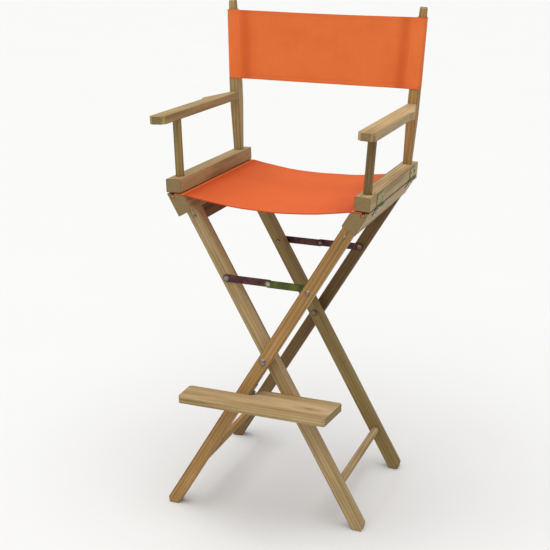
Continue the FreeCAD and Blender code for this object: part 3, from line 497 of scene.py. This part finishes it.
def cloth_faces(made, layer, top, bottom):
    """Faces of both sheets and all four edges. The end columns' edges are flat and sharp."""
    def quad(corners, smooth=True):
        face = made.faces.new([vertex for vertex, _ in corners])
        face.smooth = smooth
        if not smooth:
            for edge in face.edges:
                edge.smooth = False
        for loop, (_, where) in zip(face.loops, corners):
            loop[layer].uv = where

    last_a, last_b = len(top) - 1, len(top[0]) - 1
    for i in range(last_a):
        for j in range(last_b):
            quad([top[i][j], top[i + 1][j], top[i + 1][j + 1], top[i][j + 1]])
            quad([bottom[i][j + 1], bottom[i + 1][j + 1], bottom[i + 1][j], bottom[i][j]])
        quad([bottom[i][0], bottom[i + 1][0], top[i + 1][0], top[i][0]])
        quad([top[i][last_b], top[i + 1][last_b], bottom[i + 1][last_b], bottom[i][last_b]])
    for j in range(last_b):
        quad([top[0][j], top[0][j + 1], bottom[0][j + 1], bottom[0][j]], False)
        quad([bottom[last_a][j], bottom[last_a][j + 1], top[last_a][j + 1], top[last_a][j]], False)


def cloth(name, material, columns, rows, place, half, tone, uv):
    """A closed sheet over a grid. place gives a point and a normal, half the half-thickness."""
    made = bmesh.new()
    layer = made.loops.layers.uv.new("cloth")
    top, bottom = cloth_vertices(made, columns, rows, place, half, tone, uv)
    cloth_faces(made, layer, top, bottom)
    bmesh.ops.recalc_face_normals(made, faces=made.faces)
    return add_object(name, made, material)


def spaced(low, high, step):
    """Even stations from low to high, about a step apart."""
    count = max(2, int(round((high - low) / step)))
    return [low + (high - low) * i / count for i in range(count + 1)]


def edged(low, high, step, fine):
    """Even stations with extra ones just inside both ends."""
    inner = spaced(low + fine[-1], high - fine[-1], step)
    return [low + f for f in fine[:-1]] + inner + [high - f for f in reversed(fine[:-1])]


HEM_FINE = [0.0, 0.08 * MM, 0.3 * MM, 0.7 * MM, 1.4 * MM, 4 * MM, 7 * MM, 8.2 * MM, 9 * MM,
            9.8 * MM, 10.6 * MM, 11.4 * MM, 12.4 * MM, 14 * MM, 18 * MM]
HEM_WIDTH = 12.0 * MM
HEM_RAMP = 1.5 * MM                 # over which the doubled cloth ends
EDGE_RAMP = 1.4 * MM                # over which the hem reaches its thickness
FOLD_FINE = [0.0, 0.08 * MM, 0.3 * MM, 0.7 * MM, 1.4 * MM]
STITCH_INSET = 9.0 * MM             # from the cloth's edge
STITCH_WIDTH = 0.55 * MM
STITCH_COVER = 0.68                 # share of the pitch that a stitch covers
STITCH_SIDES = 6
STITCH_SINK = 0.25 * MM             # of the stitches into the cloth's face
STITCH_DIP = 0.28 * MM              # of the cloth under a row of stitches
STITCH_DIP_WIDTH = 1.1 * MM
# Rings of one stitch: share of its length, lift and size, both in widths.
STITCH_RINGS = ((0.0, -0.35, 0.45), (0.18, 0.35, 0.9), (0.5, 0.6, 1.0), (0.82, 0.35, 0.9),
                (1.0, -0.35, 0.45))


def hem_distance(place, low, high):
    """Distance from the nearer of two edges."""
    return min(place - low, high - place)


def hem_half(distance, sign):
    """Half-thickness of a hemmed edge: the doubled cloth lies on the sheet's under side."""
    extra = 0.0
    if sign < 0 and distance < HEM_WIDTH:
        extra = CLOTH * min(1.0, (HEM_WIDTH - distance) / HEM_RAMP)
    dip = STITCH_DIP * bell(distance - STITCH_INSET, STITCH_DIP_WIDTH)
    return rounding(distance, CLOTH / 2) + (extra - dip) * min(1.0, distance / EDGE_RAMP)


def stitch(made, start, reach, up):
    """One short rounded thread that dips into the cloth at both ends."""
    out = reach.normalized().cross(up).normalized()
    rings = []
    for share, lift, size in STITCH_RINGS:
        centre = start + reach * share + up * (STITCH_WIDTH * lift)
        ring = []
        for k in range(STITCH_SIDES):
            turn = 2 * math.pi * k / STITCH_SIDES
            spot = centre + (out * math.cos(turn) + up * math.sin(turn)) * (STITCH_WIDTH / 2 * size)
            ring.append(made.verts.new(spot))
        rings.append(ring)
    for low, high in zip(rings, rings[1:]):
        for k in range(STITCH_SIDES):
            after = (k + 1) % STITCH_SIDES
            face = made.faces.new([low[k], low[after], high[after], high[k]])
            face.smooth = True
    made.faces.new(list(reversed(rings[0])))
    made.faces.new(rings[-1])


def stitch_line(spots):
    """Points and normals of a row of stitches, from the middle of the cloth's thickness."""
    return [p + n * (CLOTH / 2 - STITCH_SINK) for p, n in spots], [n for _, n in spots]


def stitch_object(name, rows, material):
    made = bmesh.new()
    for points, normals in rows:
        for start, stop, up in zip(points, points[1:], normals):
            stitch(made, start, (stop - start) * STITCH_COVER, up)
    bmesh.ops.recalc_face_normals(made, faces=made.faces)
    return add_object(name, made, material)


# ---- seat -----------------------------------------------------------------------------------

SEAT_FRONT, SEAT_BACK = SEAT_LOW.y, SEAT_HIGH.y
SEAT_SAG = 23.0 * MM
SEAT_PULL = 1.1 * MM                # height of the faint pull lines
SEAT_WAVE = 0.9 * MM                # height of the slower waves
SEAT_SHADE = 0.52                    # painted shade: the seat's cloth is made darker than the back's
SEAT_LEVEL = RAIL_TOP_Z + 1.1 * MM  # the middle of the cloth's thickness, over the rail
FOLD_KEEP = 0.1                     # share of the cloth's width left at the fold
FOLD_ANGLE = math.radians(27.0)     # each half of the leg fold
FOLD_GAP = 3.0 * MM                 # left between each half and the fold's middle plane
LOOP_BEND = 3.0 * MM                # radius where the cloth turns down into the groove
LOOP_CLEARANCE = 0.15 * MM          # between the cloth and the rod
LOOP_TURN = 1.45 * math.pi          # how far the cloth goes round the rod
LOOP_TONE = 0.15


def seat_height(x, y):
    """Slack cloth between the rails, tighter along its hems, with faint pull lines."""
    share = min(1.0, abs(x) / SEAT_EDGE)
    depth = (y - SEAT_FRONT) / (SEAT_BACK - SEAT_FRONT)
    slack = 0.80 + 0.20 * math.sin(math.pi * depth)
    calm = 1.0 - share ** 4
    pull = noise.noise(Vector((x * 9.0, y * 26.0, 3.0))) * SEAT_PULL
    wave = noise.noise(Vector((x * 22.0 + 5.0, y * 7.0, 9.0))) * SEAT_WAVE
    return SEAT_LEVEL - SEAT_SAG * slack * (1.0 - share * share) + (pull + wave) * calm


def seat_place(x, y):
    """Point and normal of the seat, level across its middle line."""
    step = 0.5 * MM
    slope_x = (seat_height(x + step, y) - seat_height(x - step, y)) / (2 * step)
    slope_y = (seat_height(x, y + step) - seat_height(x, y - step)) / (2 * step)
    if abs(x) < step:
        slope_x = 0.0
    return Vector((x, y, seat_height(x, y))), Vector((-slope_x, -slope_y, 1.0)).normalized()


def fold_direction():
    """Squash direction that lays half of the seat along its rail, ending at the fold's middle plane."""
    anchor = Vector((-SEAT_EDGE, 0.0, SEAT_LEVEL))
    middle = Vector((0.0, 0.0, seat_height(0.0, (SEAT_FRONT + SEAT_BACK) / 2)))
    best, chosen = 1.0, None
    for tenths in range(1, 900):
        turn = math.radians(tenths * 0.1)
        axis = Vector((math.cos(turn), 0.0, math.sin(turn)))
        moved = middle - axis * ((middle - anchor).dot(axis) * (1.0 - FOLD_KEEP))
        miss = abs(moved.x + (moved.z - CROSSING_Z) * math.tan(FOLD_ANGLE) + FOLD_GAP)
        if miss < best:
            best, chosen = miss, axis
    return chosen


def seat_half(_, y, sign):
    return hem_half(hem_distance(y, SEAT_FRONT, SEAT_BACK), sign)


def seat_tone(x, y):
    """Darker at the hems; painted shade in the stitch dips, beside the rails and over the whole seat.
    """
    distance = hem_distance(y, SEAT_FRONT, SEAT_BACK)
    hem = 0.55 * fade(distance, 1.2 * MM)
    # painted shade in the dip under each row of stitches
    line = 0.12 * bell(distance - STITCH_INSET, 1.5 * MM)
    # painted shade beside the rails, under the arms
    rail = 0.40 * fade(SEAT_EDGE - abs(x), 32.0 * MM)
    return min(1.0, hem + line + rail + SEAT_SHADE)


def seat_rows(sign):
    """Stitch lines of one half, along both hems."""
    reach = spaced(2 * MM, SEAT_EDGE - 2 * MM, STITCH_PITCH)
    return [stitch_line([seat_place(sign * x, y) for x in reach])
            for y in (SEAT_FRONT + STITCH_INSET, SEAT_BACK - STITCH_INSET)]


def make_seat(cloth_material, thread_material):
    rows = edged(SEAT_FRONT, SEAT_BACK, 9.0 * MM, HEM_FINE)
    axis = fold_direction()
    for side, sign in SIDES.items():
        columns = [sign * x for x in spaced(0.0, SEAT_EDGE, 7.5 * MM)]
        piece = cloth("seat_%s_half" % side, cloth_material, columns, rows, seat_place, seat_half,
                      seat_tone, lambda x, y: (x, y))
        seam = stitch_object("seat_%s_stitches" % side, seat_rows(sign), thread_material)
        for thing in (piece, seam):
            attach(thing, side + "_leg_frame")
            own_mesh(thing)
        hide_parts("seat_canvas")


def loop_path(side):
    """The cloth's line from the rail's inner edge, down into the groove and round the rod."""
    sign = SIDES[side]
    centre_x = (ROD_LOW.x + ROD_HIGH.x) / 2
    centre_z = (ROD_LOW.z + ROD_HIGH.z) / 2
    radius = (ROD_HIGH.x - ROD_LOW.x) / 2 + CLOTH / 2 + LOOP_CLEARANCE
    lip = centre_x - radius - LOOP_BEND
    points = [(x, SEAT_LEVEL) for x in spaced(SEAT_EDGE, lip, 4.0 * MM)]
    for i in range(1, 6):
        turn = math.pi / 2 * i / 5
        points.append((lip + LOOP_BEND * math.sin(turn),
                       SEAT_LEVEL - LOOP_BEND * (1.0 - math.cos(turn))))
    for i in range(17):
        turn = math.pi + LOOP_TURN * i / 16
        points.append((centre_x + radius * math.cos(turn), centre_z + radius * math.sin(turn)))
    return [Vector((sign * x, 0.0, z)) for x, z in points]


def along_path(points):
    """Length from the start and normal at each point of an X-Z line."""
    lengths, normals = [0.0], []
    for a, b in zip(points, points[1:]):
        lengths.append(lengths[-1] + (b - a).length)
    for i in range(len(points)):
        way = points[min(i + 1, len(points) - 1)] - points[max(i - 1, 0)]
        normals.append(Vector((-way.z, 0.0, way.x)).normalized())
    return lengths, normals


def make_seat_loops(cloth_material):
    rows = edged(SEAT_FRONT, SEAT_BACK, 30.0 * MM, FOLD_FINE)
    for side, sign in SIDES.items():
        path = loop_path(side)
        lengths, normals = along_path(path)

        def place(i, y):
            return path[i] + Vector((0.0, y, 0.0)), normals[i] * sign

        def half(_, y, __):
            return rounding(hem_distance(y, SEAT_FRONT, SEAT_BACK), CLOTH / 2)

        piece = cloth("seat_%s_loop" % side, cloth_material, list(range(len(path))), rows, place,
                      half, lambda i, y: LOOP_TONE,
                      lambda i, y: (sign * (SEAT_EDGE + lengths[i]), y))
        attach(piece, side + "_leg_frame")
        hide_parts("seat_canvas")


# ---- back -----------------------------------------------------------------------------------

POST_SHOULDER_W = 211.0 * MM
POST_TOP_W = 391.0 * MM
POST_LEAN = 3.0 * MM                # of a post's middle toward the back, at its top
POST_HALF_THICK, POST_THINNING = 11.0, 3.4      # mm
POST_THINNING_W, POST_THINNING_LENGTH = 196.0 * MM, 200.0 * MM
POST_HALF_DEEP, POST_NARROWING = 15.0, 8.0      # mm
POST_CLEARANCE = 0.5 * MM           # between a post and its cloth
SLEEVE_POINTS = 60
SLEEVE_START, SLEEVE_SWEEP = -0.5 * math.pi, 1.80 * math.pi
SLEEVE_CORNER = 2.0 / 5.0           # power that makes the ring a rounded rectangle
SLEEVE_TUCK = 0.88                  # share of the ring where it starts to lie on the panel
SLEEVE_RIPPLE = 0.5 * MM
PANEL_DIP = 6.5 * MM                # how far the panel lies behind the posts' fronts
PANEL_RIPPLE, PANEL_PULL = 1.3 * MM, 0.6 * MM
PANEL_WIDTH = 442.0 * MM
PANEL_COLUMNS = 84
POST_STITCH_INSETS = (15.5 * MM, 18.5 * MM)


def canvas_rise(w):
    """0 at the back cloth's lower edge, 1 at its upper edge."""
    return (w - CANVAS_LOW_W) / (CANVAS_HIGH_W - CANVAS_LOW_W)


def post_section(w):
    """Half-thickness, half-depth and middle of a back post at a height above the hinge."""
    rise = min(1.0, max(0.0, (w - POST_SHOULDER_W) / (POST_TOP_W - POST_SHOULDER_W)))
    thinned = max(0.0, (w - POST_THINNING_W) / POST_THINNING_LENGTH)
    thick = (POST_HALF_THICK - POST_THINNING * thinned) * MM
    return thick, (POST_HALF_DEEP - POST_NARROWING * rise) * MM, BACK_CENTRE + POST_LEAN * rise


def cloth_front(w):
    """Depth of the cloth's middle in front of the post at height w."""
    return BACK_CENTRE - POST_HALF_DEEP * MM - CLOTH / 2 - POST_CLEARANCE + 3.5 * MM * canvas_rise(w)


def sleeve_ring(w):
    """The sleeve round the post at height w, as (u, y): from the middle of the post's front,
    round the outer side and the back to the inner front corner, where it is sewn on."""
    thick, deep, middle = post_section(w)
    rise = canvas_rise(w)
    half_u = thick + CLOTH / 2 + POST_CLEARANCE + 1.0 * MM * rise
    front = cloth_front(w)
    back = middle + deep + CLOTH / 2 + POST_CLEARANCE + 2.0 * MM * rise
    centre_y, half_y = (front + back) / 2, (back - front) / 2
    ring = []
    for i in range(SLEEVE_POINTS + 1):
        turn = SLEEVE_START + SLEEVE_SWEEP * i / SLEEVE_POINTS
        cos, sin = math.cos(turn), math.sin(turn)
        if i == 0:
            cos = 0.0
        u = POST_U + half_u * math.copysign(abs(cos) ** SLEEVE_CORNER, cos)
        y = centre_y + half_y * math.copysign(abs(sin) ** SLEEVE_CORNER, sin)
        tuck = max(0.0, (i - SLEEVE_TUCK * SLEEVE_POINTS) / (0.12 * SLEEVE_POINTS))
        ring.append((u, max(y, front + CLOTH * 1.1 * min(1.0, tuck * 3.0))))
    return ring


def sleeve_half(_, w, __):
    return rounding(hem_distance(w, CANVAS_LOW_W, CANVAS_HIGH_W), CLOTH / 2)


def sleeve_tone(u, w):
    """Darker at both edges, with painted shade along the post's outer corner."""
    hem = 0.5 * fade(hem_distance(w, CANVAS_LOW_W, CANVAS_HIGH_W), 1.3 * MM)
    # painted shade where the cloth turns round the post's outer corner
    outer = 0.55 * fade(max(0.0, POST_U + 12.4 * MM - u), 1.6 * MM)
    return min(1.0, hem + outer)


def make_sleeve(side, sign, heights, cloth_material):
    rings = {w: sleeve_ring(w) for w in heights}
    up = arm_point(side, 0, 0, 1.0) - arm_point(side, 0, 0, 0.0)

    def spot(i, w):
        u, y = rings[w][i]
        return arm_point(side, u, y, w)

    def place(i, w):
        before, after = spot(max(i - 1, 0), w), spot(min(i + 1, SLEEVE_POINTS), w)
        ripple = noise.noise(Vector((i * 0.22, w * 30.0, 4.0 + sign))) * SLEEVE_RIPPLE
        out = (after - before).normalized().cross(up).normalized() * sign
        return spot(i, w) + out * max(0.0, ripple), out

    girth = [0.0]
    middle = heights[len(heights) // 2]
    for i in range(SLEEVE_POINTS):
        girth.append(girth[-1] + (spot(i + 1, middle) - spot(i, middle)).length)
    piece = cloth(side + "_back_sleeve_sewn", cloth_material, list(range(SLEEVE_POINTS + 1)),
                  heights, place, sleeve_half, lambda i, w: sleeve_tone(rings[w][i][0], w),
                  lambda i, w: (sign * (PANEL_WIDTH / 2 + girth[i]), w))
    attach(piece, side + "_arm_frame")
    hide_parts(side + "_back_sleeve")


def make_sleeves(cloth_material):
    heights = edged(CANVAS_LOW_W, CANVAS_HIGH_W, 8.0 * MM, FOLD_FINE + [8 * MM])
    for side, sign in SIDES.items():
        make_sleeve(side, sign, heights, cloth_material)


def panel_edge(side, w):
    """Where the panel meets a sleeve, in the middle of the post's front."""
    return arm_point(side, POST_U, cloth_front(w), w)


def smooth(value):
    """0 to 1 with a level start and end."""
    value = min(1.0, max(0.0, value))
    return value * value * (3.0 - 2.0 * value)


def panel_point(t, w):
    """t runs from 0 at the left post to 1 at the right one."""
    left, right = panel_edge("left", w), panel_edge("right", w)
    point = left.lerp(right, t)
    rise = canvas_rise(w)
    away = min(t, 1.0 - t) * PANEL_WIDTH
    free = smooth((away - 8.0 * MM) / (60.0 * MM))
    hold = 0.75 + 0.25 * math.sin(math.pi * min(1.0, max(0.0, rise)))
    point.y += PANEL_DIP * free * hold
    point.z -= (0.6 + 1.4 * rise) * MM * 4.0 * t * (1.0 - t)
    ripple = noise.noise(Vector((t * 7.0, w * 11.0, 1.0))) * PANEL_RIPPLE
    pull = noise.noise(Vector((t * 30.0, w * 3.0, 7.0))) * PANEL_PULL
    point.y += (ripple + pull) * free
    return point


def panel_place(t, w):
    """Point and normal of the panel."""
    dt, dw = 0.002, 1.0 * MM
    across = panel_point(min(t + dt, 1.0), w) - panel_point(max(t - dt, 0.0), w)
    up = panel_point(t, w + dw) - panel_point(t, w - dw)
    return panel_point(t, w), across.cross(up).normalized()


def panel_half(t, w, sign):
    """Half-thickness: hemmed, except beside the posts, where the sleeve has no hem."""
    inner = smooth((min(t, 1.0 - t) * PANEL_WIDTH - 14.0 * MM) / (4.0 * MM))
    distance = hem_distance(w, CANVAS_LOW_W, CANVAS_HIGH_W)
    plain = rounding(distance, CLOTH / 2)
    return plain + (hem_half(distance, sign) - plain) * inner


def panel_tone(t, w):
    """Darker at the hems; painted shade in the stitch dips and in a band beside each post."""
    distance = hem_distance(w, CANVAS_LOW_W, CANVAS_HIGH_W)
    hem = 0.5 * fade(distance, 1.3 * MM)
    # painted shade in the dip under each row of stitches
    line = 0.12 * bell(distance - STITCH_INSET, 1.5 * MM)
    away = min(t, 1.0 - t) * PANEL_WIDTH
    # painted shade where the cloth curves back from each post
    band = 0.42 * bell(away - 33.0 * MM, 13.0 * MM)
    return min(1.0, hem + line + band)


def make_panel(cloth_material, thread_material):
    heights = edged(CANVAS_LOW_W, CANVAS_HIGH_W, 8.0 * MM, HEM_FINE)
    for side in SIDES:
        start = 0.0 if side == "left" else 0.5
        stations = [start + i / PANEL_COLUMNS for i in range(PANEL_COLUMNS // 2 + 1)]
        piece = cloth("back_%s_half" % side, cloth_material, stations, heights, panel_place,
                      panel_half, panel_tone, lambda t, w: (t * PANEL_WIDTH - PANEL_WIDTH / 2, w))
        seam = stitch_object("back_%s_stitches" % side, panel_rows(side), thread_material)
        for thing in (piece, seam):
            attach(thing, side + "_arm_frame")
            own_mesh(thing)
        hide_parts("back_canvas")


def panel_rows(side):
    """Stitch lines of one half: along both hems, and two rows beside the post."""
    def share(inset):
        return inset / PANEL_WIDTH if side == "left" else 1.0 - inset / PANEL_WIDTH

    rows = []
    across = spaced(20 * MM, PANEL_WIDTH / 2 - 2 * MM, STITCH_PITCH)
    for w in (CANVAS_LOW_W + STITCH_INSET, CANVAS_HIGH_W - STITCH_INSET):
        rows.append(stitch_line([panel_place(share(inset), w) for inset in across]))
    upward = spaced(CANVAS_LOW_W + 4 * MM, CANVAS_HIGH_W - 4 * MM, STITCH_PITCH)
    for inset in POST_STITCH_INSETS:
        rows.append(stitch_line([panel_place(share(inset), w) for w in upward]))
    return rows


# ---- floor, light and camera ----------------------------------------------------------------

CAMERA_AT = (815.4 * MM, -2349.6 * MM, 1317.9 * MM)
CAMERA_AZIMUTH = math.radians(20.03)
CAMERA_ELEVATION = math.radians(17.25)
CAMERA_ROLL = math.radians(0.94)
CAMERA_SENSOR = 36.0
CAMERA_LENS = 1111.7 / 550.0 * CAMERA_SENSOR     # focal length over picture width, in pixels
FLOOR_RADIUS = 70.0
FLOOR_DARK, FLOOR_LIGHT = (0.70, 0.70, 0.69), (0.715, 0.715, 0.705)
SKY_COLOUR, SKY_STRENGTH = (0.96, 0.975, 1.0, 1.0), 0.48


def make_floor():
    s = Shader("floor_paint")
    place = s.node("ShaderNodeTexCoord").outputs["Object"]
    cloud = s.noise(place, 1.5, 2.0)
    s.put(s.bsdf.inputs["Base Color"], s.mix(cloud, FLOOR_DARK, FLOOR_LIGHT))
    s.bsdf.inputs["Roughness"].default_value = 0.9
    s.bsdf.inputs["Specular IOR Level"].default_value = 0.1
    made = bmesh.new()
    bmesh.ops.create_circle(made, cap_ends=True, radius=FLOOR_RADIUS, segments=96)
    floor = add_object("studio_floor", made, s.material)
    floor.location.z = -1.0 * MM


def add_sun(name, toward, strength, angle, colour):
    """A broad distant light; toward points from the chair to the light."""
    data = bpy.data.lights.new(name, "SUN")
    data.energy = strength
    data.angle = math.radians(angle)
    data.color = colour
    light = bpy.data.objects.new(name, data)
    light.rotation_euler = Vector(toward).to_track_quat("Z", "Y").to_euler()
    bpy.context.scene.collection.objects.link(light)


def make_light():
    add_sun("key", toward=(-0.05, -0.20, 1.0), strength=2.8, angle=75.0,
            colour=(1.0, 0.995, 0.985))
    add_sun("fill", toward=(0.1, -1.0, 0.35), strength=0.25, angle=60.0,
            colour=(0.98, 0.99, 1.0))
    world = bpy.data.worlds.new("studio")
    world.use_nodes = True
    sky = world.node_tree.nodes["Background"]
    sky.inputs["Color"].default_value = SKY_COLOUR
    sky.inputs["Strength"].default_value = SKY_STRENGTH
    bpy.context.scene.world = world
    bpy.context.scene.view_settings.view_transform = "Standard"


def make_camera():
    data = bpy.data.cameras.new("camera")
    data.sensor_width = CAMERA_SENSOR
    data.lens = CAMERA_LENS
    data.clip_start, data.clip_end = 0.05, 300.0
    camera = bpy.data.objects.new("camera", data)
    cos = math.cos(CAMERA_ELEVATION)
    back = Vector((math.sin(CAMERA_AZIMUTH) * cos, -math.cos(CAMERA_AZIMUTH) * cos,
                   math.sin(CAMERA_ELEVATION)))
    right = (-back).cross(Vector((0, 0, 1))).normalized()
    up = right.cross(-back)
    turned_right = right * math.cos(CAMERA_ROLL) + up * math.sin(CAMERA_ROLL)
    turned_up = up * math.cos(CAMERA_ROLL) - right * math.sin(CAMERA_ROLL)
    basis = Matrix((turned_right, turned_up, back)).transposed()
    camera.matrix_world = Matrix.Translation(CAMERA_AT) @ basis.to_4x4()
    bpy.context.scene.collection.objects.link(camera)
    bpy.context.scene.camera = camera


make_camera()
make_light()
make_floor()
paint_wood()
paint_metal()
canvas_material = canvas("orange_canvas")
thread_material = thread("orange_thread")
make_seat(canvas_material, thread_material)
make_seat_loops(canvas_material)
make_sleeves(canvas_material)
make_panel(canvas_material, thread_material)
